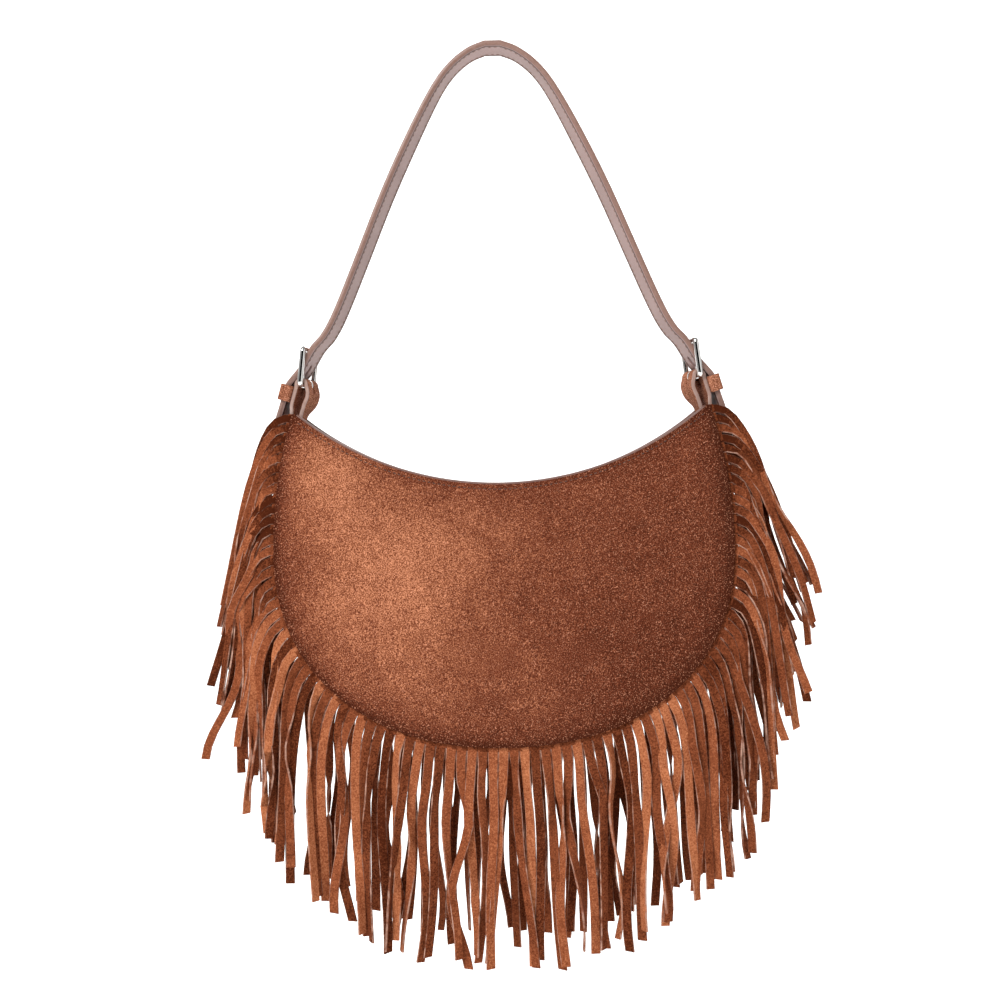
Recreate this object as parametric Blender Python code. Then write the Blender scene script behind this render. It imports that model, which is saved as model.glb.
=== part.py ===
"""A crescent shoulder bag in brown suede with a two-layer fringe and a buckled strap.

Two domed panels and a gusset make the body. A lining, two mouth facings and a
magnetic snap sit inside it. A leather tab (chape) on each corner holds a buckle,
and one lined strap runs from buckle to buckle with its ends tucked through keepers.

X is across the bag, Y runs from the front (-) to the back (+) and Z is up. The bag
hangs from the origin, which is the underside of the strap at its highest point.
Heights of the body are counted from its widest level.
"""

import math

import bmesh
import bpy
import numpy as np
from mathutils import Matrix, Vector

GAP = 0.0003  # clearance between pieces that touch

# Strap, and how far the body hangs below its underside
STRAP_WIDTH = 0.020
STRAP_SUEDE = 0.0016
STRAP_LINING = 0.0012
STRAP_GAP = 0.0005  # between the strap's two layers, which twist
STRAP_THICK = STRAP_SUEDE + STRAP_GAP + STRAP_LINING
STRAP_APEX = 0.3094
WIDEST_Z = STRAP_THICK / 2 - STRAP_APEX
TOE = math.radians(11)  # the strap's front edges stand wider apart than its rear ones
TAIL_TOE = math.radians(2)

# Body outline
HALF_WIDTH = 0.139
DEPTH_BELOW = 0.1194
ROUNDNESS = 2.2
CORNER_Z = 0.084
NARROWING = 1.7  # of the half width above the widest level, per metre squared
MOUTH_HALF = 0.1245
MOUTH_END_Z = 0.083
MOUTH_SAG = 0.0445

# Body section from front to back
CORNER_HALF_DEPTH = 0.0125
BOTTOM_HALF_DEPTH = 0.028
PANEL_BULGE = 0.009
SUEDE = 0.0016
FRINGE_SUEDE = 0.0013
LINING = 0.0008
FACING = 0.0010
FACING_DEEP = 0.025
FACING_TO_LINING = 0.0015
LINING_SLACK = 0.0010  # the lining hangs this far clear of the panels
SEAM_INSET = 0.0002  # the gusset lies this far inside the seam's line
FACING_SPAN = (0.04, 0.96)  # shares of the seam between which the facings run
LINING_SPAN = (0.015, 0.985)
PANEL_OFF = GAP + FRINGE_SUEDE + GAP + SUEDE / 2  # panel mid-surface, past the gusset edge
MOUTH_Y = CORNER_HALF_DEPTH + PANEL_OFF

# Fringe
FRINGE_LENGTH = 0.133
FRINGE_BAND = 0.003
TABS = 94
SLIT = 0.10  # share of a tab's pitch
FLARE = math.radians(15)  # lean of the strips that start highest
BEND = 0.015  # length over which a strip turns downwards

# Buckle, in the plane of its strap: outward and up from the heel bar
HEEL = (0.1203, 0.1024)
BAR = 0.00175
FRAME_HALF = 0.01225
FRAME_TALL = 0.0222
FRAME_LEAN = math.radians(7)
FRAME_CORNER = 0.0021
WIRE = 0.0011
CHAPE = 0.0022
CHAPE_SLOT = 0.0016
TWIST_TOP, TWIST_END = -0.011, -0.0185  # where a chape turns square to the gusset

# Holes in the strap: outward and up from the heel bar, half the slot's straight length,
# and the strap's lean there. The first takes the prong and the others are spare.
HOLES = (
    (0.0021, 0.0074, 0.0058, math.radians(39)),
    (0.0119, -0.0112, 0, math.radians(17)),
    (0.0175, -0.0268, 0, math.radians(17)),
)
HOLE_RADIUS = 0.0016
CUT_DEPTH = 0.008

# Keeper
KEEPER_AT = (0.0100, -0.0046)
KEEPER_TILT = math.radians(17)
KEEPER_WALL = 0.0018
KEEPER_INNER = (0.0046, 0.0210)
KEEPER_TALL = 0.010
KEEPER_CORNER = 0.0014

SNAP_RADIUS = 0.0075
SNAP_BELOW_MOUTH = 0.013

SUEDE_BROWN = (0.27, 0.085, 0.043)
FRINGE_BROWN = (0.22, 0.075, 0.041)
TAN = (0.40, 0.19, 0.11)
PINK_GREY = (0.42, 0.30, 0.28)
LINING_BROWN = (0.10, 0.055, 0.040)
NICKEL = (0.62, 0.61, 0.60)


def material(name, colour, roughness, metallic=0.0):
    """A plain Principled material for one piece."""
    mat = bpy.data.materials.new(name)
    mat.use_nodes = True
    shader = mat.node_tree.nodes["Principled BSDF"]
    shader.inputs["Base Color"].default_value = (*colour, 1)
    shader.inputs["Roughness"].default_value = roughness
    shader.inputs["Metallic"].default_value = metallic
    mat.diffuse_color = (*colour, 1)
    return mat


def add_object(name, data, mat):
    """Links a mesh or curve as one named piece, its heights counted from the widest level."""
    data.materials.append(mat)
    obj = bpy.data.objects.new(name, data)
    obj.location = (0, 0, WIDEST_Z)
    bpy.context.scene.collection.objects.link(obj)
    return obj


def sheet(name, rows, thickness, mat, skip=(), wrap=False):
    """A sheet through a grid of points; faces in skip are holes, wrap joins the last row."""
    across = len(rows[0])
    verts = [tuple(p) for row in rows for p in row]
    faces = []
    for i in range(len(rows) if wrap else len(rows) - 1):
        for j in range(across - 1):
            if (i, j) not in skip:
                a, b = i * across + j, ((i + 1) % len(rows)) * across + j
                faces.append((a, a + 1, b + 1, b))
    mesh = bpy.data.meshes.new(name)
    mesh.from_pydata(verts, [], faces)
    obj = add_object(name, mesh, mat)
    wall = obj.modifiers.new("thickness", "SOLIDIFY")
    wall.thickness = thickness
    wall.offset = 0
    wall.use_even_offset = True
    return obj


def smooth_step(low, high, value):
    t = min(1.0, max(0.0, (value - low) / (high - low)))
    return t * t * (3 - 2 * t)


def resample(line, shares):
    """Points at the given shares of a line's length."""
    steps = np.linalg.norm(np.diff(line, axis=0), axis=1)
    length = np.concatenate([[0], np.cumsum(steps)])
    at = np.array(shares) * length[-1]
    return np.stack([np.interp(at, length, line[:, k]) for k in range(2)], axis=1)


def offset_line(points, distance):
    """The line moved sideways, to its left, with mitred corners."""
    pts = np.array(points, float)
    run = np.diff(pts, axis=0)
    run /= np.linalg.norm(run, axis=1)[:, None]
    left = np.stack([-run[:, 1], run[:, 0]], axis=1)
    before = np.vstack([left[:1], left])
    after = np.vstack([left, left[-1:]])
    mitre = before + after
    mitre /= (mitre * after).sum(axis=1)[:, None]
    return pts + distance * mitre


def curve_through(points, per_span):
    """A smooth line through points, each span cut into equal parts of its parameter."""
    pts = [Vector(p) for p in points]
    pts = [2 * pts[0] - pts[1], *pts, 2 * pts[-1] - pts[-2]]
    line = []
    for k in range(1, len(pts) - 2):
        a, b, c, d = pts[k - 1:k + 3]
        for i in range(per_span[k - 1]):
            t = i / per_span[k - 1]
            turn = (c - a) * t + (2 * a - 5 * b + 4 * c - d) * t ** 2 + (3 * b - a - 3 * c + d) * t ** 3
            line.append(b + turn / 2)
    line.append(pts[-2])
    return np.array([tuple(p) for p in line])


# --- Body ------------------------------------------------------------------------

def outline():
    """The seam's line from the left corner round the bottom to the right corner."""
    turn = np.linspace(0, math.pi / 2, 90)
    x = HALF_WIDTH * np.sin(turn) ** (2 / ROUNDNESS)
    z = -DEPTH_BELOW * np.cos(turn) ** (2 / ROUNDNESS)
    top_z = np.linspace(0, CORNER_Z, 30)[1:]
    top_x = HALF_WIDTH - NARROWING * top_z ** 2
    half = np.stack([np.concatenate([x, top_x]), np.concatenate([z, top_z])], axis=1)
    other = half[:0:-1] * (-1, 1)
    return np.vstack([other, half])


def mouth():
    """The mouth's edge, a shallow arc from corner to corner."""
    radius = (MOUTH_HALF ** 2 + MOUTH_SAG ** 2) / (2 * MOUTH_SAG)
    reach = math.asin(MOUTH_HALF / radius)
    turn = np.linspace(-reach, reach, 121)
    low = MOUTH_END_Z - MOUTH_SAG
    return np.stack([radius * np.sin(turn), low + radius * (1 - np.cos(turn))], axis=1)


OUTLINE = outline()
MOUTH = mouth()


def seam_point(u, inward=0.0):
    """A point of the seam at share u of its length, moved inwards by a distance."""
    before, here, after = resample(OUTLINE, [max(0, u - 0.002), u, min(1, u + 0.002)])
    run = (after - before) / np.linalg.norm(after - before)
    return here + inward * np.array([-run[1], run[0]])


def half_depth(u):
    """Half the gusset's width at share u of the seam."""
    return CORNER_HALF_DEPTH + (BOTTOM_HALF_DEPTH - CORNER_HALF_DEPTH) * math.sin(math.pi * u) ** 0.8


def panel_point(u, v, inward=0.0, edge=0.0):
    """A point of the front panel's mid-surface: v is 0 at the seam and 1 at the mouth.

    inward moves it towards the inside of the bag, edge moves the seam end inwards.
    """
    low, high = seam_point(u, edge), resample(MOUTH, [u])[0]
    x, z = low + (high - low) * v
    depth = (half_depth(u) + PANEL_OFF) * (1 - v) + MOUTH_Y * v
    dome = PANEL_BULGE * math.sin(math.pi * v) * math.sin(math.pi * u) ** 0.7
    return x, -(depth + dome - inward), z


def column_height(u):
    return float(np.linalg.norm(resample(MOUTH, [u])[0] - seam_point(u)))


def facing_foot(u):
    """Where the facing ends on the column at u, as a share of the column."""
    return 1 - min(FACING_DEEP / column_height(u), 0.65)


def to_side(points, side):
    """Front points stay, back points are turned over to positive Y."""
    return [[(x, y if side == "front" else -y, z) for x, y, z in row] for row in points]


def build_body():
    suede = material("suede_panels", SUEDE_BROWN, 0.92)
    edge_suede = material("suede_gusset", SUEDE_BROWN, 0.92)
    facing_leather = material("leather_facings", PINK_GREY, 0.6)
    cloth = material("lining_cloth", LINING_BROWN, 0.85)

    columns = np.linspace(0, 1, 37)
    rows = np.linspace(0, 1, 7)
    panel = [[panel_point(u, v) for v in rows] for u in columns]
    inner = np.linspace(*FACING_SPAN, 31)
    facing_in = SUEDE / 2 + GAP + FACING / 2
    facing = [
        [panel_point(u, v, facing_in) for v in np.linspace(facing_foot(u), 1, 3)] for u in inner
    ]
    for side in ("front", "back"):
        sheet(f"{side}_panel", to_side(panel, side), SUEDE, suede)
        sheet(f"{side}_facing", to_side(facing, side), FACING, facing_leather)

    gusset = []
    for u in columns:
        x, z = seam_point(u, SEAM_INSET + SUEDE / 2)
        gusset.append([(x, half_depth(u) * k, z) for k in (-1, -0.35, 0.35, 1)])
    sheet("gusset", gusset, SUEDE, edge_suede)

    # The lining runs from the front facing down, across the gusset and up the back
    lining_edge = SEAM_INSET + SUEDE + GAP + LINING / 2
    lining_in = PANEL_OFF + LINING / 2 + LINING_SLACK
    lined = []
    for u in np.linspace(*LINING_SPAN, 33):
        foot = facing_foot(u)
        top = foot - FACING_TO_LINING / column_height(u)
        front = [panel_point(u, v, lining_in, lining_edge) for v in np.linspace(top, 0, 5)]
        middle = [(front[-1][0], y, front[-1][2]) for y in (front[-1][1] / 3, -front[-1][1] / 3)]
        back = [(x, -y, z) for x, y, z in reversed(front)]
        lined.append(front + middle + back)
    sheet("lining", lined, LINING, cloth)


# --- Fringe ----------------------------------------------------------------------

def strip_line(u, lengths):
    """Points along the middle of the fringe at share u: out from the seam, then down."""
    start = seam_point(u)
    outward = seam_point(u, -1.0) - start
    lean = FLARE * smooth_step(-0.04, 0.07, start[1])
    final = np.array([math.copysign(math.sin(lean), start[0]), -math.cos(lean)])
    points = []
    for s in lengths:
        if s <= 0:
            points.append(start + outward * s)
            continue
        turned = BEND * (1 - math.exp(-s / BEND))
        points.append(start + outward * turned + final * (s - turned))
    return points


def build_fringe(side):
    """One layer: a band held in the seam, cut into tabs below it."""
    pitch = 1 / TABS
    slit = pitch * SLIT / 2
    lengths = (-FRINGE_BAND, 0.006, 0.022, 0.060, FRINGE_LENGTH)
    rows = []
    skip = set()
    for k in range(TABS):
        for u in (k * pitch + slit, (k + 1) * pitch - slit):
            y = -(half_depth(u) + GAP + FRINGE_SUEDE / 2)
            rows.append([(x, y, z) for x, z in strip_line(u, lengths)])
        skip.update((2 * k + 1, j) for j in range(1, len(lengths) - 1))
    suede = material(f"suede_fringe_{side}", FRINGE_BROWN, 0.95)
    sheet(f"{side}_fringe", to_side(rows, side), FRINGE_SUEDE, suede, skip)


# --- Strap and buckles -----------------------------------------------------------

def strap_half():
    """The strap's middle line from the apex to the end of the right tail."""
    hx, hz = HEEL
    bend = [(0.005, STRAP_APEX), (0.015, 0.3052), (0.026, 0.2962), (0.036, 0.2825)]
    arm = [(0.050, 0.256), (0.067, 0.220), (0.0838, 0.180), (0.0975, 0.1475)]
    buckle = [(-0.0150, 0.0305), (-0.0076, 0.0220), (0, 0.0100), (0.0046, 0.0047), (0.0083, 0.0002)]
    tail = [KEEPER_AT, (0.0123, -0.012), (0.016, -0.022), (0.019, -0.032), (0.0205, -0.042)]
    points = bend + arm + [(hx + a, hz + h) for a, h in buckle + tail]
    spans = (2, 2, 2, 2, 2, 2, 2, 2, 2, 2, 2, 2, 2, 1, 1, 1, 1)
    return curve_through(points, spans)


def strap_toe(x, z):
    """The ruling's turn about Z at a point of the right half."""
    if z < HEEL[1] + KEEPER_AT[1]:
        drop = smooth_step(HEEL[1] - 0.009, HEEL[1] - 0.040, z)
        return TOE + (TAIL_TOE - TOE) * drop
    return TOE * smooth_step(0.005, 0.060, x)


def strap_point(x, z, across):
    """A point of the strap, across its width; the left half mirrors the right."""
    side = math.copysign(1, x)
    x = abs(x)
    toe = strap_toe(x, z)
    out = max(x - HEEL[0], -0.009)
    y = out * math.sin(toe) * (1 - smooth_step(HEEL[1] + 0.022, HEEL[1] + 0.075, z))
    return side * (x - across * math.sin(toe)), y + across * math.cos(toe), z


def hole_cutter(side, sign):
    """Cuts the slot that a prong passes and the spare holes below the keeper."""
    cutter_mesh = bmesh.new()
    for outward, up, half_slot, slope in HOLES:
        cone = bmesh.ops.create_cone(
            cutter_mesh, cap_ends=True, segments=16,
            radius1=HOLE_RADIUS, radius2=HOLE_RADIUS, depth=CUT_DEPTH,
        )
        for vert in cone["verts"]:
            vert.co.y += math.copysign(half_slot, vert.co.y)
        # the hole's own Z goes through the strap and its Y along it
        stand = Matrix.Rotation(math.pi / 2, 4, "Y") @ Matrix.Rotation(math.pi / 2, 4, "Z")
        turn = Matrix.Translation((outward, 0, up)) @ Matrix.Rotation(-slope, 4, "Y") @ stand
        bmesh.ops.transform(cutter_mesh, matrix=turn, verts=cone["verts"])
    bmesh.ops.scale(cutter_mesh, vec=(sign, 1, 1), verts=cutter_mesh.verts)
    bmesh.ops.recalc_face_normals(cutter_mesh, faces=cutter_mesh.faces)
    mesh = bpy.data.meshes.new(f"hole_cutter_{side}")
    cutter_mesh.to_mesh(mesh)
    cutter_mesh.free()
    cutter = bpy.data.objects.new(f"hole_cutter_{side}", mesh)
    at_heel(cutter, sign)
    cutter.hide_render = True
    cutter.display_type = "WIRE"
    bpy.context.scene.collection.objects.link(cutter)
    return cutter


def build_strap(cutters):
    half = strap_half()
    middle = np.vstack([half[::-1] * (-1, 1), half])
    layers = (
        ("strap_outer", (STRAP_THICK - STRAP_SUEDE) / 2, STRAP_SUEDE, SUEDE_BROWN, 0.9),
        ("strap_lining", (STRAP_LINING - STRAP_THICK) / 2, STRAP_LINING, PINK_GREY, 0.5),
    )
    for name, offset, thickness, colour, roughness in layers:
        line = offset_line(middle, offset)
        edges = (-STRAP_WIDTH / 2, 0, STRAP_WIDTH / 2)
        rows = [[strap_point(x, z, across) for across in edges] for x, z in line]
        strap = sheet(name, rows, thickness, material(name, colour, roughness))
        for cutter in cutters:
            cut = strap.modifiers.new(cutter.name, "BOOLEAN")
            cut.object = cutter
            cut.operation = "DIFFERENCE"
            cut.solver = "EXACT"


def at_heel(obj, sign):
    """Puts a buckle piece, modelled from its heel bar, on its corner of the bag."""
    obj.location = (sign * HEEL[0], 0, WIDEST_Z + HEEL[1])
    obj.rotation_euler = (0, 0, sign * TOE)


def wire(name, points, radius, mat, cyclic):
    """A round bar along a line of points."""
    curve = bpy.data.curves.new(name, "CURVE")
    curve.dimensions = "3D"
    curve.bevel_depth = radius
    curve.bevel_resolution = 2
    curve.use_fill_caps = True
    spline = curve.splines.new("POLY")
    spline.points.add(len(points) - 1)
    for point, place in zip(spline.points, points):
        point.co = (*place, 1)
    spline.use_cyclic_u = cyclic
    return add_object(name, curve, mat)


def build_buckle(side, sign, nickel):
    """The frame and its prong, both turning on the heel bar."""
    up = np.array([-math.sin(FRAME_LEAN), math.cos(FRAME_LEAN)])
    corners = ((1, FRAME_TALL), (-1, FRAME_TALL), (-1, 0), (1, 0))
    ring = []
    for k, (way, height) in enumerate(corners):
        centre_y = way * (FRAME_HALF - FRAME_CORNER)
        centre_h = height + (FRAME_CORNER if height == 0 else -FRAME_CORNER)
        for step in range(4):
            turn = math.pi / 2 * (k + step / 3)
            y = centre_y + FRAME_CORNER * math.cos(turn)
            h = centre_h + FRAME_CORNER * math.sin(turn)
            ring.append((sign * up[0] * h, y, up[1] * h))
    frame = wire(f"buckle_frame_{side}", ring, BAR, nickel, True)
    at_heel(frame, sign)

    reach = BAR + GAP + WIRE
    loop = [math.radians(95 + 265 * k / 11) for k in range(12)]
    line = [(reach * math.cos(t), reach * math.sin(t)) for t in loop]
    out = np.array([up[1], -up[0]])
    rest = up * FRAME_TALL + out * reach
    tip = rest + up * 2 * WIRE
    line += [tuple(rest * 0.5 + np.array([reach, 0]) * 0.5), tuple(rest), tuple(tip)]
    prong = wire(f"prong_{side}", [(sign * a, 0, h) for a, h in line], WIRE, nickel, False)
    at_heel(prong, sign)


def build_chape(side, sign, suede):
    """A folded tab: it wraps the heel bar, and its legs hold the gusset's end between them."""
    fold = BAR + GAP + CHAPE / 2
    inner = [(0.0054, -0.031), (0.0022, -0.0185), (-0.0004, -0.0140), (-0.0030, -0.0095), (-0.0041, -0.005)]
    arc = [(fold * math.cos(t), fold * math.sin(t)) for t in np.radians(np.linspace(185, 0, 9))]
    outer = [(0.0033, -0.0015), (0.00435, -0.005), (0.0062, -0.011), (0.0081, -0.018), (0.0115, -0.031)]
    profile = inner + arc + outer
    columns = (-STRAP_WIDTH / 2, -CHAPE_SLOT, CHAPE_SLOT, STRAP_WIDTH / 2)
    rows = []
    for a, h in profile:
        toe = TOE * smooth_step(TWIST_END, TWIST_TOP, h)
        rows.append([
            (sign * (HEEL[0] + a * math.cos(toe) - y * math.sin(toe)),
             a * math.sin(toe) + y * math.cos(toe), HEEL[1] + h)
            for y in columns
        ])
    open_rows = range(len(inner) - 1, len(inner) + len(arc) + 1)
    sheet(f"chape_{side}", rows, CHAPE, suede, {(i, 1) for i in open_rows})


def build_keeper(side, sign, suede):
    """A leather loop round the strap, sewn to the chape's outer leg."""
    half_a = (KEEPER_INNER[0] + KEEPER_WALL) / 2
    half_y = (KEEPER_INNER[1] + KEEPER_WALL) / 2
    ring = []
    for k, (way_a, way_y) in enumerate(((1, 1), (-1, 1), (-1, -1), (1, -1))):
        for step in range(3):
            turn = math.pi / 2 * (k + step / 2)
            ring.append((
                way_a * (half_a - KEEPER_CORNER) + KEEPER_CORNER * math.cos(turn),
                way_y * (half_y - KEEPER_CORNER) + KEEPER_CORNER * math.sin(turn),
            ))
    tilt = Matrix.Rotation(KEEPER_TILT, 3, "Y").inverted()
    centre = Vector((KEEPER_AT[0], 0, KEEPER_AT[1]))
    rows = []
    for a, y in ring:
        ends = [centre + tilt @ Vector((a, y, h)) for h in (-KEEPER_TALL / 2, KEEPER_TALL / 2)]
        rows.append([(sign * p.x, p.y, p.z) for p in ends])
    keeper = sheet(f"keeper_{side}", rows, KEEPER_WALL, suede, wrap=True)
    at_heel(keeper, sign)


def build_strap_and_buckles():
    cutters = [hole_cutter("left", -1), hole_cutter("right", 1)]
    build_strap(cutters)
    nickel = material("nickel", NICKEL, 0.15, 1.0)
    tab = material("suede_tabs", TAN, 0.9)
    for side, sign in (("left", -1), ("right", 1)):
        build_buckle(side, sign, nickel)
        build_chape(side, sign, tab)
        build_keeper(side, sign, tab)


# --- Snap ------------------------------------------------------------------------

def turned(name, profile, mat):
    """A round piece about its own Z axis, from radius and height pairs."""
    steps = 20
    verts = [(0, 0, profile[0][1]), (0, 0, profile[-1][1])]
    rings = profile[1:-1]
    for r, h in rings:
        verts += [(r * math.cos(t), r * math.sin(t), h)
                  for t in (2 * math.pi * k / steps for k in range(steps))]
    faces = []
    for k in range(steps):
        n = (k + 1) % steps
        faces.append((0, 2 + k, 2 + n))
        last = 2 + (len(rings) - 1) * steps
        faces.append((1, last + n, last + k))
        for i in range(len(rings) - 1):
            a, b = 2 + i * steps, 2 + (i + 1) * steps
            faces.append((a + n, a + k, b + k, b + n))
    mesh = bpy.data.meshes.new(name)
    mesh.from_pydata(verts, [], faces)
    return add_object(name, mesh, mat)


def build_snap():
    """A magnetic snap on the two facings, under the middle of the mouth."""
    nickel = material("snap_nickel", NICKEL, 0.2, 1.0)
    stud = [(0, 0.0044), (0.0018, 0.0044), (0.0022, 0.0040), (0.0022, 0.0020), (0.0068, 0.0020),
            (SNAP_RADIUS, 0.0012), (SNAP_RADIUS, 0), (0, 0)]
    socket = [(0, 0.0008), (0.0026, 0.0008), (0.0026, 0.0030), (0.0066, 0.0030),
              (SNAP_RADIUS, 0.0022), (SNAP_RADIUS, 0), (0, 0)]
    share = 1 - SNAP_BELOW_MOUTH / column_height(0.5)
    face_in = SUEDE / 2 + GAP + FACING + 2 * GAP
    low, here, high = (Vector(panel_point(0.5, share + d, face_in)) for d in (-0.03, 0, 0.03))
    slope = math.atan2(high.y - low.y, high.z - low.z)
    for name, profile, way in (("snap_stud", stud, 1), ("snap_socket", socket, -1)):
        piece = turned(name, profile, nickel)
        piece.location = (0, way * here.y, WIDEST_Z + here.z)
        piece.rotation_euler = (way * (-math.pi / 2 - slope), 0, 0)


for old in list(bpy.data.objects):
    bpy.data.objects.remove(old, do_unlink=True)
build_body()
for layer in ("front", "back"):
    build_fringe(layer)
build_strap_and_buckles()
build_snap()
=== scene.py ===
"""The finished look of a crescent suede shoulder bag with fringe and a buckled strap."""

import math
import random

import bpy
import numpy as np
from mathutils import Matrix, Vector, noise


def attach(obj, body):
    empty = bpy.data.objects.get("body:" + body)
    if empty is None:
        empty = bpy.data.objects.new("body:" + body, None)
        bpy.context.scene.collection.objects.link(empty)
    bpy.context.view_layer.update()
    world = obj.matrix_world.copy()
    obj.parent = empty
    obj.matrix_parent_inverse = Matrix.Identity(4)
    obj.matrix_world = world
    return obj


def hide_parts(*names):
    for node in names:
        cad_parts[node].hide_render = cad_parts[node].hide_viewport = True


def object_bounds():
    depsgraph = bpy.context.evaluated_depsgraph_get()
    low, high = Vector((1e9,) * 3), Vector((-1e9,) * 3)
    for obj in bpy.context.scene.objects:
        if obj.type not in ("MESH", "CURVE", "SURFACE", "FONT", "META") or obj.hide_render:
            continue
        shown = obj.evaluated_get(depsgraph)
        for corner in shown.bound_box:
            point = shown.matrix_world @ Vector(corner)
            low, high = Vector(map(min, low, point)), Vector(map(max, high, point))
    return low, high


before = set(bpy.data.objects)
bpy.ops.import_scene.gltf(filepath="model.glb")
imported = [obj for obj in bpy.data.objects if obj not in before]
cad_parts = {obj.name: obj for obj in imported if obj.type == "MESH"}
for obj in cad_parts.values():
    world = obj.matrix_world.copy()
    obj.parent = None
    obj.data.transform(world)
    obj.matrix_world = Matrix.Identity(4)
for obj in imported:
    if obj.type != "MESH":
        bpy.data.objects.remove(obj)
cad_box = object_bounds()

# --- Studio ----------------------------------------------------------------------
# A pale sweep of paper, a soft key light high on the left, weak fill and rim lights, a
# dark card for the metal to mirror, and a camera turned a little about its own axis.

STRAP_APEX = 0.3094  # the strap's middle line above the body's widest level
STRAP_THICK = 0.0033
WIDEST_Z = STRAP_THICK / 2 - STRAP_APEX
CAMERA_PLACE = (-0.0018, -0.8075, WIDEST_Z + 0.0288)
CAMERA_ROLL = math.radians(1.35)
LENS = 46.8
SENSOR = 36
WORLD_STRENGTH = 0.34
FLOOR_BELOW = 0.12
SWEEP_WIDE = 3.0
SWEEP_NEAR = -1.6
SWEEP_BEND = 0.9
SWEEP_RADIUS = 0.5
SWEEP_TOP = 2.2

bpy.ops.object.select_all(action="DESELECT")
bpy.ops.object.camera_add(location=CAMERA_PLACE, rotation=(math.pi / 2, CAMERA_ROLL, 0))
camera = bpy.context.object
camera.data.lens = LENS
camera.data.sensor_width = SENSOR
bpy.context.scene.camera = camera
bpy.context.scene.view_settings.view_transform = "Standard"


def soft_light(name, place, target, size, power):
    """A square soft light that faces a point."""
    bpy.ops.object.light_add(type="AREA", location=place)
    light = bpy.context.object
    light.name = name
    light.data.size = size
    light.data.energy = power
    aim = Vector(target) - Vector(place)
    light.rotation_euler = aim.to_track_quat("-Z", "Y").to_euler()


soft_light("key", (-0.75, -1.25, 0.80), (0, 0, -0.32), 0.7, 36)
soft_light("fill", (1.3, -0.9, 0.1), (0, 0, -0.3), 1.2, 3)
soft_light("rim", (0.4, 1.2, 0.9), (0, 0, -0.25), 0.9, 12)
world = bpy.data.worlds.new("studio")
world.use_nodes = True
world.node_tree.nodes["Background"].inputs["Color"].default_value = (1, 1, 1, 1)
world.node_tree.nodes["Background"].inputs["Strength"].default_value = WORLD_STRENGTH
bpy.context.scene.world = world


class Flow:
    """A shader socket that can be added, multiplied and so on."""

    def __init__(self, tree, socket):
        self.tree, self.socket = tree, socket

    def reckon(self, operation, first, second):
        return make(self.tree, "Math", {"operation": operation}, {0: first, 1: second})

    def __add__(self, other):
        return self.reckon("ADD", self, other)

    def __sub__(self, other):
        return self.reckon("SUBTRACT", self, other)

    def __rsub__(self, other):
        return self.reckon("SUBTRACT", other, self)

    def __mul__(self, other):
        return self.reckon("MULTIPLY", self, other)

    def __pow__(self, other):
        return self.reckon("POWER", self, other)

    __radd__ = __add__
    __rmul__ = __mul__


def make(tree, kind, settings=None, sockets=None, out=0):
    """One node: its settings first, then its sockets' values or links."""
    node = tree.nodes.new(f"ShaderNode{kind}")
    for key, value in (settings or {}).items():
        if key == "stops":
            ramp = node.color_ramp
            for place, shade in value:
                stop = ramp.elements.new(place) if place not in (0, 1) else ramp.elements[place]
                stop.color = (*shade, 1)
        else:
            setattr(node, key, value)
    for key, value in (sockets or {}).items():
        if isinstance(value, Flow):
            tree.links.new(value.socket, node.inputs[key])
        elif isinstance(value, tuple) and len(value) == 3 and node.inputs[key].type == "RGBA":
            node.inputs[key].default_value = (*value, 1)
        else:
            node.inputs[key].default_value = value
    return Flow(tree, node.outputs[out])


def blend_colours(tree, share, first, second, way="MIX"):
    """A colour between two colours."""
    settings = {"data_type": "RGBA", "blend_type": way}
    return make(tree, "Mix", settings, {0: share, 6: first, 7: second}, out=2)


def new_material(name, roughness, **uniform):
    """A Principled material, its node tree and its shader node."""
    mat = bpy.data.materials.new(name)
    mat.use_nodes = True
    shader = mat.node_tree.nodes["Principled BSDF"]
    shader.inputs["Roughness"].default_value = roughness
    for key, value in uniform.items():
        shader.inputs[key.replace("_", " ")].default_value = value
    return mat, mat.node_tree, shader


def grain(tree, scale, detail=3.0, rough=0.6, place=None):
    """A noise pattern on the object's own coordinates."""
    place = place or make(tree, "TexCoord", out=3)
    sockets = {"Vector": place, "Scale": scale, "Detail": detail, "Roughness": rough}
    return make(tree, "TexNoise", {}, sockets)


def wire_up(tree, shader, colour=None, roughness=None, height=None, depth=0.0003, strength=0.5):
    """Links from patterns to a shader; height becomes a bump of the given depth."""
    if colour is not None:
        tree.links.new(colour.socket, shader.inputs["Base Color"])
    if roughness is not None:
        tree.links.new(roughness.socket, shader.inputs["Roughness"])
    if height is not None:
        bump = make(tree, "Bump", {}, {"Strength": strength, "Distance": depth, "Height": height})
        tree.links.new(bump.socket, shader.inputs["Normal"])


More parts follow.
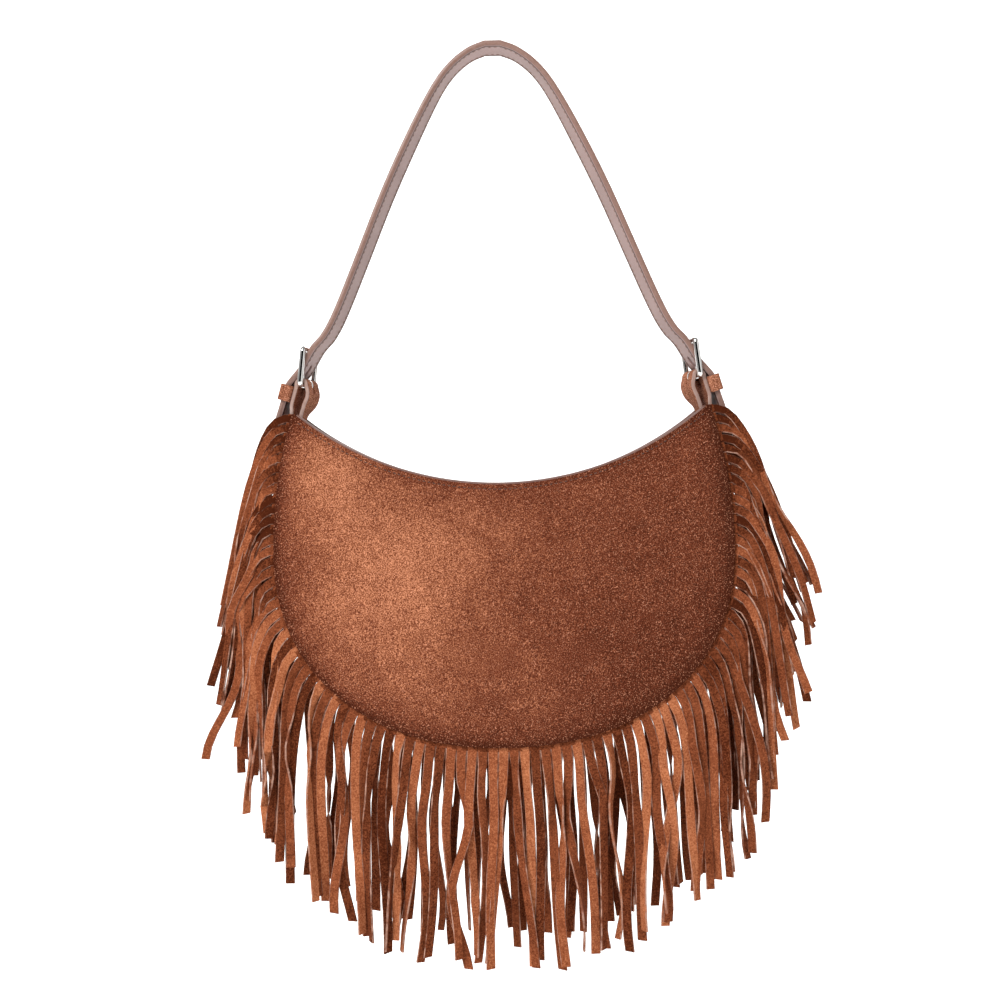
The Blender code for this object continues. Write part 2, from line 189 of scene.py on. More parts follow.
paper, paper_tree, paper_shader = new_material("paper", 0.95, Emission_Strength=0.5)
paper_shader.inputs["Emission Color"].default_value = (1, 1, 1, 1)
wire_up(
    paper_tree, paper_shader,
    blend_colours(paper_tree, grain(paper_tree, 90), (0.93, 0.93, 0.93), (0.955, 0.955, 0.955)),
)
FLOOR_Z = cad_box[0][2] - FLOOR_BELOW
sweep = [(SWEEP_NEAR, FLOOR_Z), (SWEEP_BEND, FLOOR_Z)]
sweep += [
    (SWEEP_BEND + SWEEP_RADIUS * math.sin(t), FLOOR_Z + SWEEP_RADIUS * (1 - math.cos(t)))
    for t in np.linspace(0.1, math.pi / 2, 12)
]
sweep.append((SWEEP_BEND + SWEEP_RADIUS, SWEEP_TOP))
paper_mesh = bpy.data.meshes.new("paper_sweep")
paper_mesh.from_pydata(
    [(x, y, z) for y, z in sweep for x in (-SWEEP_WIDE, SWEEP_WIDE)],
    [],
    [(2 * i, 2 * i + 1, 2 * i + 3, 2 * i + 2) for i in range(len(sweep) - 1)],
)
paper_mesh.materials.append(paper)
paper_mesh.shade_smooth()
paper_sweep = bpy.data.objects.new("paper_sweep", paper_mesh)
bpy.context.scene.collection.objects.link(paper_sweep)

# a dark card behind the camera, which only the polished metal mirrors
black, _, black_shader = new_material("black_card", 1.0)
black_shader.inputs["Base Color"].default_value = (0.004, 0.004, 0.004, 1)
black_shader.inputs["Specular IOR Level"].default_value = 0.0
bpy.ops.mesh.primitive_plane_add(size=1, location=(0, -1.6, 0.1), rotation=(math.pi / 2, 0, 0))
card = bpy.context.object
card.name = "black_card"
card.scale = (2.6, 2.4, 1)
card.data.materials.append(black)
card.visible_camera = card.visible_diffuse = card.visible_shadow = False


# --- Front and back panel --------------------------------------------------------
# Brushed brown suede cut to a crescent. Each panel is domed between the seam and the
# mouth's edge, and sags a little in soft dents.

HALF_WIDTH = 0.139
DEPTH_BELOW = 0.1194
ROUNDNESS = 2.2
CORNER_Z = 0.084
NARROWING = 1.7
MOUTH_HALF = 0.1245
MOUTH_END_Z = 0.083
MOUTH_SAG = 0.0445
CORNER_HALF_DEPTH = 0.0125
BOTTOM_HALF_DEPTH = 0.028
PANEL_BULGE = 0.009
SUEDE = 0.0016
FRINGE_SUEDE = 0.0013
GAP = 0.0003
SEAM_INSET = 0.0002
PANEL_OFF = GAP + FRINGE_SUEDE + GAP + SUEDE / 2
MOUTH_Y = CORNER_HALF_DEPTH + PANEL_OFF


def crescent_outline():
    """The seam's line from the left corner under the body to the right one."""
    turn = np.linspace(0, math.pi / 2, 200)
    x = HALF_WIDTH * np.sin(turn) ** (2 / ROUNDNESS)
    z = -DEPTH_BELOW * np.cos(turn) ** (2 / ROUNDNESS)
    top_z = np.linspace(0, CORNER_Z, 60)[1:]
    top_x = HALF_WIDTH - NARROWING * top_z ** 2
    half = np.stack([np.concatenate([x, top_x]), np.concatenate([z, top_z])], axis=1)
    return np.vstack([half[:0:-1] * (-1, 1), half])


def mouth_arc():
    """The mouth's hollow edge, an arc from corner to corner."""
    radius = (MOUTH_HALF ** 2 + MOUTH_SAG ** 2) / (2 * MOUTH_SAG)
    reach = math.asin(MOUTH_HALF / radius)
    turn = np.linspace(-reach, reach, 301)
    low = MOUTH_END_Z - MOUTH_SAG
    return np.stack([radius * np.sin(turn), low + radius * (1 - np.cos(turn))], axis=1)


OUTLINE = crescent_outline()
MOUTH = mouth_arc()


def resample(line, shares):
    """Points at the given shares of a line's length."""
    steps = np.linalg.norm(np.diff(line, axis=0), axis=1)
    length = np.concatenate([[0], np.cumsum(steps)])
    at = np.array(shares) * length[-1]
    return np.stack([np.interp(at, length, line[:, k]) for k in range(line.shape[1])], axis=1)


def seam_point(u, inward=0.0):
    """A point of the seam at share u of its length, moved inwards by a distance."""
    before, here, after = resample(OUTLINE, [max(0, u - 0.004), u, min(1, u + 0.004)])
    run = (after - before) / np.linalg.norm(after - before)
    return here + inward * np.array([-run[1], run[0]])


def half_depth(u):
    """Half the gusset's width at share u of the seam."""
    deeper = BOTTOM_HALF_DEPTH - CORNER_HALF_DEPTH
    return CORNER_HALF_DEPTH + deeper * math.sin(math.pi * u) ** 0.8


def panel_point(u, v, inward=0.0, edge=0.0):
    """A point of the front panel, v from 0 at the seam to 1 at the mouth."""
    low, high = seam_point(u, edge), resample(MOUTH, [u])[0]
    x, z = low + (high - low) * v
    depth = (half_depth(u) + PANEL_OFF) * (1 - v) + MOUTH_Y * v
    dome = PANEL_BULGE * math.sin(math.pi * v) * math.sin(math.pi * u) ** 0.7
    return x, -(depth + dome - inward), z


def column_height(u):
    return float(np.linalg.norm(resample(MOUTH, [u])[0] - seam_point(u)))


def link_mesh(name, verts, faces, mat):
    """A smooth mesh object at the origin; heights are counted from the widest level."""
    mesh = bpy.data.meshes.new(name)
    mesh.from_pydata([(x, y, z + WIDEST_Z) for x, y, z in verts], [], faces)
    mesh.materials.append(mat)
    mesh.shade_smooth()
    obj = bpy.data.objects.new(name, mesh)
    bpy.context.scene.collection.objects.link(obj)
    return obj


def select_only(obj):
    bpy.ops.object.select_all(action="DESELECT")
    bpy.context.view_layer.objects.active = obj
    obj.select_set(True)


def turn_normals_out(obj):
    select_only(obj)
    bpy.ops.object.mode_set(mode="EDIT")
    bpy.ops.mesh.select_all(action="SELECT")
    bpy.ops.mesh.normals_make_consistent(inside=False)
    bpy.ops.object.mode_set(mode="OBJECT")


def apply_modifiers(obj):
    select_only(obj)
    for modifier in list(obj.modifiers):
        bpy.ops.object.modifier_apply(modifier=modifier.name)


def skin(name, rows, thickness, mat, skip=(), wrap=False, round_edge=0.0003):
    """A sheet through a grid of points, thickened, with softened edges."""
    across = len(rows[0])
    verts = [tuple(p) for row in rows for p in row]
    faces = []
    for i in range(len(rows) if wrap else len(rows) - 1):
        for j in range(across - 1):
            if (i, j) not in skip:
                a, b = i * across + j, ((i + 1) % len(rows)) * across + j
                faces.append((a, a + 1, b + 1, b))
    obj = link_mesh(name, verts, faces, mat)
    wall = obj.modifiers.new("wall", "SOLIDIFY")
    wall.thickness, wall.offset, wall.use_even_offset = thickness, 0, True
    if round_edge:
        soft = obj.modifiers.new("soft", "BEVEL")
        soft.width, soft.segments, soft.limit_method = round_edge, 2, "ANGLE"
        soft.angle_limit = math.radians(50)
    apply_modifiers(obj)
    obj.data.shade_smooth()
    obj.data.set_sharp_from_angle(angle=math.radians(60))
    return obj


def suede(name, bright, mid, dark, shaded=False, mottle_size=1.0):
    """Brushed suede: nap lying both ways in patches, and a fine sparkle of fibre ends."""
    mat, tree, shader = new_material(name, 0.95, Sheen_Weight=0.02, Sheen_Roughness=0.6)
    shader.inputs["Sheen Tint"].default_value = (1.0, 0.74, 0.60, 1)
    shader.inputs["Specular IOR Level"].default_value = 0.04
    clouds = grain(tree, 14 / mottle_size, 3, 0.55)
    patches = grain(tree, 75 / mottle_size, 4, 0.65)
    nap = grain(tree, 1350, 2, 0.7)
    moved = make(tree, "Mapping", {}, {"Vector": make(tree, "TexCoord", out=3), 1: (3, 5, 7)})
    fibre = grain(tree, 1500, 1, 0.5, moved)
    tone = clouds * 0.30 + patches * 0.42 + nap * 2.3 - 1.51
    # a shaded suede takes its painted light and shade from the panel's shade attribute
    shade = make(tree, "Attribute", {"attribute_name": "shade"}, out=2) if shaded else 0.5
    gleam = tuple(min(0.8, 1.45 * c + 0.03) for c in bright)
    stops = [(0, dark), (1, gleam), (0.5, mid), (0.84, bright)]
    body = make(tree, "ValToRGB", {"stops": stops}, {"Fac": tone + shade})
    spark = make(tree, "MapRange", {}, {0: fibre, 1: 0.60, 2: 0.72, 3: 0.0, 4: 0.6})
    pale = tuple(min(0.75, 1.55 * c + 0.06) for c in bright)
    colour = blend_colours(tree, spark, body, pale)
    wire_up(tree, shader, colour, None, nap * 0.6 + fibre * 0.5, 0.0004, 0.8)
    return mat


panel_suede = suede(
    "panel_suede", (0.370, 0.138, 0.066), (0.139, 0.0345, 0.0158), (0.042, 0.0085, 0.003), shaded=True,
)
PANEL_COLUMNS = 140
PANEL_ROWS = 44
DRAW_IN, DRAW_AT, DRAW_REACH = 0.0007, 0.004, 0.0022
# spots of painted light (+) and painted shade (-): place, reach and amount
PAINTED_LIGHT_AND_SHADE_SPOTS = (((-0.062, -0.018), 0.046, 0.27), ((-0.112, 0.055), 0.034, 0.20), ((0.070, -0.050), 0.055, -0.16))


def turn_over(rows, side):
    """The rows as they are for the front, and mirrored for the back."""
    return [[(x, y if side == "front" else -y, z) for x, y, z in row] for row in rows]


def dent(x, z, side):
    """Soft dents in the hanging suede."""
    seed = 3.0 if side == "front" else 11.0
    slow = noise.noise(Vector((x * 16, z * 16, seed)))
    quick = noise.noise(Vector((x * 48, z * 48, seed + 5)))
    return 0.0011 * slow + 0.0003 * quick


def distance_to(line, x, z):
    return np.min(np.hypot(x[:, None] - line[None, :, 0], z[:, None] - line[None, :, 1]), axis=1)


def paint_panel_light_and_shade(obj):
    """Painted light and shade on a panel: lighter towards the left, where the key light falls, spots of
    painted light and shade, painted shade along the seam, and darker along the mouth.
    """
    places = np.array([tuple(v.co) for v in obj.data.vertices])
    x, z = places[:, 0], places[:, 2] - WIDEST_Z
    to_seam, to_mouth = distance_to(OUTLINE, x, z), distance_to(MOUTH, x, z)
    # painted light: lighter towards the left, where the key light falls
    shade = 0.46 - 0.75 * np.maximum(x, -0.055)
    for (at_x, at_z), reach, amount in PAINTED_LIGHT_AND_SHADE_SPOTS:
        shade += amount * np.exp(-((x - at_x) ** 2 + (z - at_z) ** 2) / reach ** 2)
    # painted shade where the panel curves away into the seam; darker along the mouth
    shade -= 0.45 * np.exp(-to_seam / 0.0035) + 0.20 * np.exp(-to_seam / 0.016)
    shade -= 0.24 * np.exp(-to_mouth / 0.006)
    layer = obj.data.attributes.new("shade", "FLOAT", "POINT")
    layer.data.foreach_set("value", shade)


for side in ("front", "back"):
    rows = []
    for u in np.linspace(0, 1, PANEL_COLUMNS + 1):
        row = []
        for v in np.linspace(0, 1, PANEL_ROWS + 1):
            x, y, z = panel_point(u, v)
            calm = math.sin(math.pi * v) * math.sin(math.pi * u)
            # the seam draws the panel in just above it
            drawn = DRAW_IN * math.exp(-(((v * column_height(u) - DRAW_AT) / DRAW_REACH) ** 2))
            drawn *= min(1, 6 * u * (1 - u))
            row.append((x, y + calm * dent(x, z, side) + drawn, z))
        rows.append(row)
    panel = skin(f"suede_{side}_panel", turn_over(rows, side), SUEDE, panel_suede, round_edge=0.0005)
    # painted light and shade, kept in the panel's shade attribute
    paint_panel_light_and_shade(panel)
    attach(panel, "root")
    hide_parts(f"{side}_panel")


# --- Gusset ----------------------------------------------------------------------
# One strip of the same suede between the panels, from corner to corner under the bag.

gusset_suede = suede("gusset_suede", (0.34, 0.125, 0.064), (0.135, 0.036, 0.018), (0.040, 0.008, 0.003))
rows = []
for u in np.linspace(0, 1, 121):
    x, z = seam_point(u, SEAM_INSET + SUEDE / 2)
    rows.append([(x, half_depth(u) * k, z) for k in np.linspace(-1, 1, 13)])
gusset = skin("suede_gusset", rows, SUEDE, gusset_suede)
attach(gusset, "root")
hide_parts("gusset")


# --- Lining and facings ----------------------------------------------------------
# Dark twill hangs inside the body. A band of smooth leather faces each side of the mouth.

FACING = 0.0010
FACING_DEEP = 0.025
LINING = 0.0008
LINING_SLACK = 0.0010
LINING_UNDER_FACING = 0.0015
LINING_SPAN = (0.015, 0.985)
FACING_SPAN = (0.04, 0.96)


def facing_foot(u):
    """The panel's v at the facing's lower edge."""
    return 1 - min(FACING_DEEP / column_height(u), 0.65)


lining_cloth, tree, shader = new_material("lining_cloth", 0.85, Sheen_Weight=0.1)
ribs = make(
    tree, "TexWave", {"bands_direction": "DIAGONAL"},
    {"Vector": make(tree, "TexCoord", out=3), "Scale": 330.0, "Distortion": 0.4},
)
thread = ribs * 0.5 + grain(tree, 700, 2) * 0.6
twill = blend_colours(tree, thread, (0.045, 0.022, 0.015), (0.13, 0.07, 0.05))
wire_up(tree, shader, twill, None, thread, 0.0002)
lining_edge = SEAM_INSET + SUEDE + GAP + LINING / 2
lining_in = PANEL_OFF + LINING / 2 + LINING_SLACK
rows = []
for u in np.linspace(*LINING_SPAN, 91):
    top = facing_foot(u) - LINING_UNDER_FACING / column_height(u)
    front = [panel_point(u, v, lining_in, lining_edge) for v in np.linspace(top, 0, 13)]
    end = front[-1]
    middle = [(end[0], end[1] * k, end[2]) for k in (0.6, 0.2, -0.2, -0.6)]
    rows.append(front + middle + [(x, -y, z) for x, y, z in reversed(front)])
lining = skin("cloth_lining", rows, LINING, lining_cloth, round_edge=0)
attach(lining, "root")
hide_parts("lining")


def smooth_leather(name, light, dark, size=1.0):
    """Smooth leather with a fine pebble grain and faint clouds."""
    mat, tree, shader = new_material(name, 0.5)
    shader.inputs["Specular IOR Level"].default_value = 0.4
    place = make(tree, "TexCoord", out=3)
    cells = make(tree, "TexVoronoi", {"feature": "DISTANCE_TO_EDGE"}, {"Vector": place, "Scale": 950 / size})
    clouds = grain(tree, 60, 4)
    pores = grain(tree, 1500 / size, 2)
    tone = clouds * 0.9 + pores * 0.3 - 0.1
    height = make(tree, "Math", {"operation": "MINIMUM"}, {0: cells * 5.0, 1: 0.6}) + pores * 0.3
    wire_up(tree, shader, blend_colours(tree, tone, dark, light), pores * 0.25 + 0.36, height, 0.0001, 0.55)
    return mat


facing_leather = smooth_leather("facing_leather", (0.38, 0.26, 0.235), (0.25, 0.16, 0.145))
facing_in = SUEDE / 2 + GAP + FACING / 2
for side in ("front", "back"):
    rows = [
        [panel_point(u, v, facing_in) for v in np.linspace(facing_foot(u), 1, 9)]
        for u in np.linspace(*FACING_SPAN, 91)
    ]
    facing = skin(f"leather_{side}_facing", turn_over(rows, side), FACING, facing_leather)
    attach(facing, "root")
    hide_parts(f"{side}_facing")


# --- Mouth edge and stitching ----------------------------------------------------
# The cut edges of panel and facing are sealed under one domed line of edge paint, and
# a row of dark thread runs just below it.

MOUTH_BEAD = (0.00165, 0.0009)
MOUTH_LINE_RADIUS = 0.196
MOUTH_STITCH_DROP = 0.0030
MOUTH_STITCH_PITCH = 0.0031


def painted(name, dark, light, scale=500, least_rough=0.3):
    """Edge paint, a little worn."""
    mat, tree, shader = new_material(name, 0.4)
    wear = grain(tree, scale, 3)
    colour = blend_colours(tree, wear, dark, light)
    wire_up(tree, shader, colour, wear * 0.3 + least_rough, wear, 0.0002, 0.4)
    return mat


def twisted(name, roughness, dark, light, scale=2500):
    """Fine light and dark along one tone, as on thread."""
    mat, tree, shader = new_material(name, roughness)
    twist = grain(tree, scale, 2)
    wire_up(tree, shader, blend_colours(tree, twist, dark, light), None, twist, 0.0002)
    return mat


edge_paint = painted("edge_paint", (0.095, 0.040, 0.029), (0.19, 0.095, 0.072), 400)
dark_thread = twisted("dark_thread", 0.6, (0.02, 0.010, 0.006), (0.07, 0.035, 0.022))


def bead(name, middle, across, along_up, half_wide, half_high, mat):
    """A domed bead along a line; across and along_up give its section at each point."""
    steps = 12
    verts = []
    for p, a, b in zip(middle, across, along_up):
        for k in range(steps):
            t = 2 * math.pi * k / steps
            verts.append(tuple(np.array(p) + np.array(a) * half_wide * math.cos(t)
                               + np.array(b) * half_high * math.sin(t)))
    faces = []
    for i in range(len(middle) - 1):
        for k in range(steps):
            n = (k + 1) % steps
            faces.append((i * steps + k, i * steps + n, (i + 1) * steps + n, (i + 1) * steps + k))
    last = (len(middle) - 1) * steps
    faces.append(tuple(range(steps - 1, -1, -1)))
    faces.append(tuple(range(last, last + steps)))
    obj = link_mesh(name, verts, faces, mat)
    turn_normals_out(obj)
    return obj


bpy.ops.mesh.primitive_uv_sphere_add(segments=8, ring_count=6, radius=1.0)
stitch_shape = bpy.context.object
STITCH_POINTS = np.array([tuple(v.co) for v in stitch_shape.data.vertices])
# a stitch is drawn down into the leather at both ends
STITCH_POINTS[:, 1] -= 0.9 * STITCH_POINTS[:, 0] ** 2
STITCH_FACES = [tuple(f.vertices) for f in stitch_shape.data.polygons]
bpy.data.objects.remove(stitch_shape, do_unlink=True)


def stitch_row(name, line, outward, pitch, mat, length_share=0.78, radius=0.00027):
    """Stitches along a line; outward is the surface's normal at each of its points."""
    line, outward = np.array(line, float), np.array(outward, float)
    steps = np.linalg.norm(np.diff(line, axis=0), axis=1)
    count = max(2, int(steps.sum() / pitch))
    shares = (np.arange(count) + 0.5) / count
    length = np.concatenate([[0], np.cumsum(steps)]) / steps.sum()
    verts, faces = [], []
    for s in shares:
        here = np.array([np.interp(s, length, line[:, k]) for k in range(3)])
        ahead = np.array([np.interp(min(1, s + 0.001), length, line[:, k]) for k in range(3)])
        back = np.array([np.interp(max(0, s - 0.001), length, line[:, k]) for k in range(3)])
        up = np.array([np.interp(s, length, outward[:, k]) for k in range(3)])
        run = (ahead - back) / np.linalg.norm(ahead - back)
        up -= run * (up @ run)
        up /= np.linalg.norm(up)
        wide = np.cross(run, up)
        first = len(verts)
        for a, b, c in STITCH_POINTS:
            p = here + run * a * pitch * length_share / 2 + up * b * radius + wide * c * radius
            verts.append(tuple(p))
        faces += [tuple(first + i for i in face) for face in STITCH_FACES]
    return link_mesh(name, verts, faces, mat)


for side in ("front", "back"):
    sign = 1 if side == "front" else -1
    middle, up = [], []
    for u in np.linspace(0.0, 1.0, 121):
        x, y, z = panel_point(u, 1.0, 0.0006)
        middle.append((x, sign * y, z + 0.0002))
        slope = x / MOUTH_LINE_RADIUS
        up.append(np.array([-slope, 0, 1.0]) / math.hypot(slope, 1))
    aside = [(0, 1, 0)] * len(middle)
    rim = bead(f"painted_{side}_mouth_edge", middle, aside, up, *MOUTH_BEAD, edge_paint)
    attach(rim, "root")
    line, outward = [], []
    for u in np.linspace(*LINING_SPAN, 161):
        v = 1 - MOUTH_STITCH_DROP / column_height(u)
        x, y, z = panel_point(u, v, -SUEDE / 2 - 0.00005)
        line.append((x, sign * y, z))
        outward.append((0, -sign, 0.1))
    thread = stitch_row(f"{side}_mouth_stitches", line, outward, MOUTH_STITCH_PITCH, dark_thread)
    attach(thread, "root")


# --- Fringe ----------------------------------------------------------------------
# Two layers of suede, each cut into strips and caught in a seam between panel and
# gusset. High on the sides the strips lap over each other and lean outwards.

STRIPS = 94
STRIP_WIDTH = 0.0058
FRINGE_LENGTH = 0.133
FLARE = math.radians(16)
BEND = 0.015
STATIONS = 18
BAND_BELOW = 0.0026
BAND_ABOVE = 0.0028
LAP_ROOM = 0.0015
SHINGLE = 0.42  # radians
ROOT_SHADE = 0.55


def smooth_step(low, high, value):
    """0 below low, 1 above high, and an S-curve between."""
    t = min(1.0, max(0.0, (value - low) / (high - low)))
    return t * t * (3 - 2 * t)


def strip_line(u, lengths, bend=BEND, lean_more=0.0):
    """The hanging line of a strip: out from the seam, then down."""
    start = seam_point(u)
    outward = seam_point(u, -1.0) - start
    lean = FLARE * smooth_step(-0.04, 0.07, start[1]) + lean_more
    final = np.array([math.copysign(math.sin(lean), start[0]), -math.cos(lean)])
    points = []
    for s in lengths:
        turned = s if s <= 0 else bend * (1 - math.exp(-s / bend))
        points.append(start + outward * turned + final * (s - turned))
    return np.array(points)


def fringe_material():
    """Suede strips: each with its own tone, which carries painted light and shade, and paler where the knife
    cut them.
    """
    mat, tree, shader = new_material("fringe_suede", 0.95)
    shader.inputs["Specular IOR Level"].default_value = 0.04
    nap = grain(tree, 950, 3, 0.75)
    clouds = grain(tree, 60, 3)
    tone = make(tree, "Attribute", {"attribute_name": "tone"}, out=2)
    cut = make(tree, "Attribute", {"attribute_name": "cut"}, out=2)
    share = clouds * 0.5 + nap * 1.6 + tone * 0.75 - 1.08
    body = make(
        tree, "ValToRGB",
        {"stops": [(0, (0.050, 0.010, 0.003)), (1, (0.50, 0.185, 0.082)), (0.5, (0.22, 0.060, 0.024))]},
        {"Fac": share},
    )
    pale = blend_colours(tree, nap, (0.14, 0.060, 0.038), (0.62, 0.38, 0.29))
    patches = make(tree, "MapRange", {}, {0: grain(tree, 130, 2), 1: 0.40, 2: 0.62, 3: 0.1, 4: 0.95})
    colour = blend_colours(tree, cut * patches, body, pale)
    wire_up(tree, shader, colour, None, nap, 0.0004, 0.8)
    return mat


fringe_suede = fringe_material()


# a strip's section: across and through, with the knife's slanted cut at both edges
SECTION = ((-1, 0), (-0.86, -1), (0.86, -1), (1, 0), (0.86, 1), (-0.86, 1))
CUT_SIDES = (0, 2, 3, 5)


def fringe_layer(side, seed):
    """All strips of one layer as one mesh of thin ribbons."""
    draw = random.Random(seed)
    sign = -1 if side == "front" else 1
    verts, faces, tones, cuts = [], [], [], []
    du = 0.5 / STRIPS
    count = len(SECTION)
    for k in range(STRIPS if side == "front" else STRIPS - 1):
        # the back layer's strips hang behind the front layer's gaps
        u = (k + (0.5 if side == "front" else 1.0)) / STRIPS
        left = u < 0.5
        length = FRINGE_LENGTH * (1 + draw.uniform(-0.05, 0.03))
        lengths = np.concatenate([[-0.0025, 0.0005], np.linspace(0.004, length, STATIONS - 2)])
        # strips hang in tufts that lean together, and a few stray from theirs
        tall = smooth_step(-0.10, 0.05, seam_point(u)[1])
        tuft = noise.noise(Vector((k * 0.31, seed, 2.0))) * (0.02 + 0.11 * tall)
        stray = draw.gauss(0, 0.07 if draw.random() < 0.14 else 0.015)
        lean_more = stray + tuft + (-0.045 * tall if left else 0.05 * tall)
        bend = BEND * draw.uniform(0.8, 1.3)
        middle = strip_line(u, lengths, bend, lean_more)
        low, high = strip_line(u - du, lengths), strip_line(u + du, lengths)
        apart = np.linalg.norm(high - low, axis=1)
        sway = draw.gauss(0, 0.0032)
        wave, phase, quick = draw.gauss(0, 0.0024), draw.uniform(0, 6.28), draw.uniform(4, 9)
        forward = draw.gauss(0, 0.0030) + (0.0016 if k % 2 else -0.0016)
        twist_end, roll = draw.gauss(0, 0.7), draw.gauss(0, 0.38)
        kink, kink_at = draw.gauss(0, 1.0), draw.uniform(0.15, 0.9)
        # each strip's tone is partly painted light and shade for how the strip is turned; the back layer's is
        # darker, painted shade behind the front layer
        tone = draw.uniform(0.1, 1.0) * (1 if side == "front" else 0.55)
        slant = draw.gauss(0, 0.10)
        first = len(verts)
        base_y = half_depth(u) + GAP + FRINGE_SUEDE / 2
        for i, s in enumerate(lengths):
            t = max(0.0, s / length)
            ahead = middle[min(i + 1, len(lengths) - 1)] - middle[max(i - 1, 0)]
            run = ahead / np.linalg.norm(ahead)
            normal = np.array([run[1], -run[0]]) * (1 if left else -1)
            # where strips crowd together each one turns to lie over the next
            crowd = min(1.0, LAP_ROOM / max(LAP_ROOM, apart[i]))
            lap = math.asin(crowd) * (1 - smooth_step(0.0050, 0.0062, apart[i]))
            loose = smooth_step(0.06, 0.35, t)
            turn = -lap * (1 - 0.45 * loose) * smooth_step(-0.001, 0.006, s)
            turn += twist_end * smooth_step(0.15, 1.0, t)
            # at its root each strip lies over the top of the one below
            turn -= SHINGLE * tall * smooth_step(-0.001, 0.003, s) * math.exp(-s / 0.020)
            turn += kink * loose * math.exp(-(((t - kink_at) / 0.13) ** 2))
            turn += roll * smooth_step(0.01, 0.12, t)
            drift = sway * t ** 1.6 + wave * math.sin(phase + quick * t) * loose
            x, z = middle[i] + normal * drift
            ripple = 0.6 * wave * math.cos(phase + quick * t) * loose
            y = sign * (base_y + forward * t ** 1.3 - 0.004 * t * t + ripple)
            wide = np.array([normal[0] * math.cos(turn), sign * math.sin(turn), normal[1] * math.cos(turn)])
            down = np.array([run[0], 0, run[1]])
            flat = np.cross(wide, down)
            breadth = STRIP_WIDTH * (1 - 0.12 * tall) + 0.0006 * (1 - smooth_step(0.002, 0.010, s))
            half_w, half_t = wide * breadth / 2, flat * FRINGE_SUEDE / 2
            here = np.array([x, y, z])
            cut_off = down * slant * STRIP_WIDTH / 2 if i == len(lengths) - 1 else 0
            for a, b in SECTION:
                verts.append(tuple(here + a * half_w + b * half_t + a * cut_off))
        for i in range(len(lengths) - 1):
            for e in range(count):
                n = (e + 1) % count
                a, b = first + count * i, first + count * (i + 1)
                faces.append((a + e, a + n, b + n, b + e))
                cuts.append(float(e in CUT_SIDES))
                # painted shade at the roots high on the sides
                tones.append(tone - ROOT_SHADE * tall * math.exp(-max(0.0, lengths[i]) / 0.009))
        last = first + count * (len(lengths) - 1)
        faces += [tuple(range(first + count - 1, first - 1, -1)), tuple(range(last, last + count))]
        cuts += [1.0, 1.0]
        tones += [tone, tone]
    # above the cuts the layer is one band, held in the seam
    first, stops = len(verts), np.linspace(0, 1, 2 * STRIPS + 1)
    for u in stops:
        y = half_depth(u) + GAP + FRINGE_SUEDE / 2
        (x0, z0), (x1, z1) = strip_line(u, (-BAND_ABOVE, BAND_BELOW))
        half_t = FRINGE_SUEDE / 2
        verts += [(x0, sign * (y + half_t), z0), (x1, sign * (y + half_t), z1),
                  (x1, sign * (y - half_t), z1), (x0, sign * (y - half_t), z0)]
    for i in range(len(stops) - 1):
        for e in range(4):
            n, a, b = (e + 1) % 4, first + 4 * i, first + 4 * (i + 1)
            faces.append((a + e, a + n, b + n, b + e))
    last = len(verts) - 4
    faces += [(first + 3, first + 2, first + 1, first), (last, last + 1, last + 2, last + 3)]
    cuts += [0.0] * (len(faces) - len(cuts))
    tones += [0.35] * (len(faces) - len(tones))
    obj = link_mesh(f"{side}_fringe_strips", verts, faces, fringe_suede)
    for name, values in (("tone", tones), ("cut", cuts)):
        layer = obj.data.attributes.new(name, "FLOAT", "FACE")
        layer.data.foreach_set("value", values)
    turn_normals_out(obj)
    obj.data.set_sharp_from_angle(angle=math.radians(40))
    return obj


for side, seed in (("front", 7), ("back", 23)):
    layer = fringe_layer(side, seed)
    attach(layer, "root")
    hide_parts(f"{side}_fringe")


# --- Strap -----------------------------------------------------------------------
# Suede outside and smooth leather inside, sewn along both edges and painted on them.
# The ends pass through the buckles and keepers and hang down outside the gusset.

STRAP_HALF = 0.010
EDGE_PAINT_IN = 0.0002
STRAP_SUEDE = 0.0016
STRAP_LINING = 0.0012
TOE = math.radians(11)
TAIL_TOE = math.radians(2)
HEEL = (0.1203, 0.1024)
KEEPER_AT = (0.0100, -0.0046)
# each hole: outward and up from the heel bar, half a slot's length and its slope in degrees
HOLES = ((0.0021, 0.0074, 0.0058, 39), (0.0119, -0.0112, 0, 17), (0.0175, -0.0268, 0, 17))
LOW_HOLE = -0.02
LOW_HOLE_TOE = math.radians(4)
HOLE_RADIUS = 0.0016
CUT_DEPTH = 0.009
PAINT_AT = 0.0096
CREASE_AT = 0.0081
CREASE_HALF = 0.00075
CREASE_LIFT = 0.0001
STITCH_AT = 0.0066
STITCH_PITCH = 0.0034
SIDES = ((-1, "front"), (1, "rear"))
FACES = ((-1, "inner"), (1, "outer"))


def curve_through(points, per_span):
    """A smooth line through points."""
    pts = [np.array(p, float) for p in points]
    pts = [2 * pts[0] - pts[1], *pts, 2 * pts[-1] - pts[-2]]
    line = []
    for k in range(1, len(pts) - 2):
        a, b, c, d = pts[k - 1:k + 3]
        for i in range(per_span):
            t = i / per_span
            turn = (c - a) * t + (2 * a - 5 * b + 4 * c - d) * t ** 2 + (3 * b - a - 3 * c + d) * t ** 3
            line.append(b + turn / 2)
    line.append(pts[-2])
    return np.array(line)


def offset_line(points, distance):
    """The line moved sideways, to its left."""
    run = np.gradient(points, axis=0)
    run /= np.linalg.norm(run, axis=1)[:, None]
    return points + distance * np.stack([-run[:, 1], run[:, 0]], axis=1)


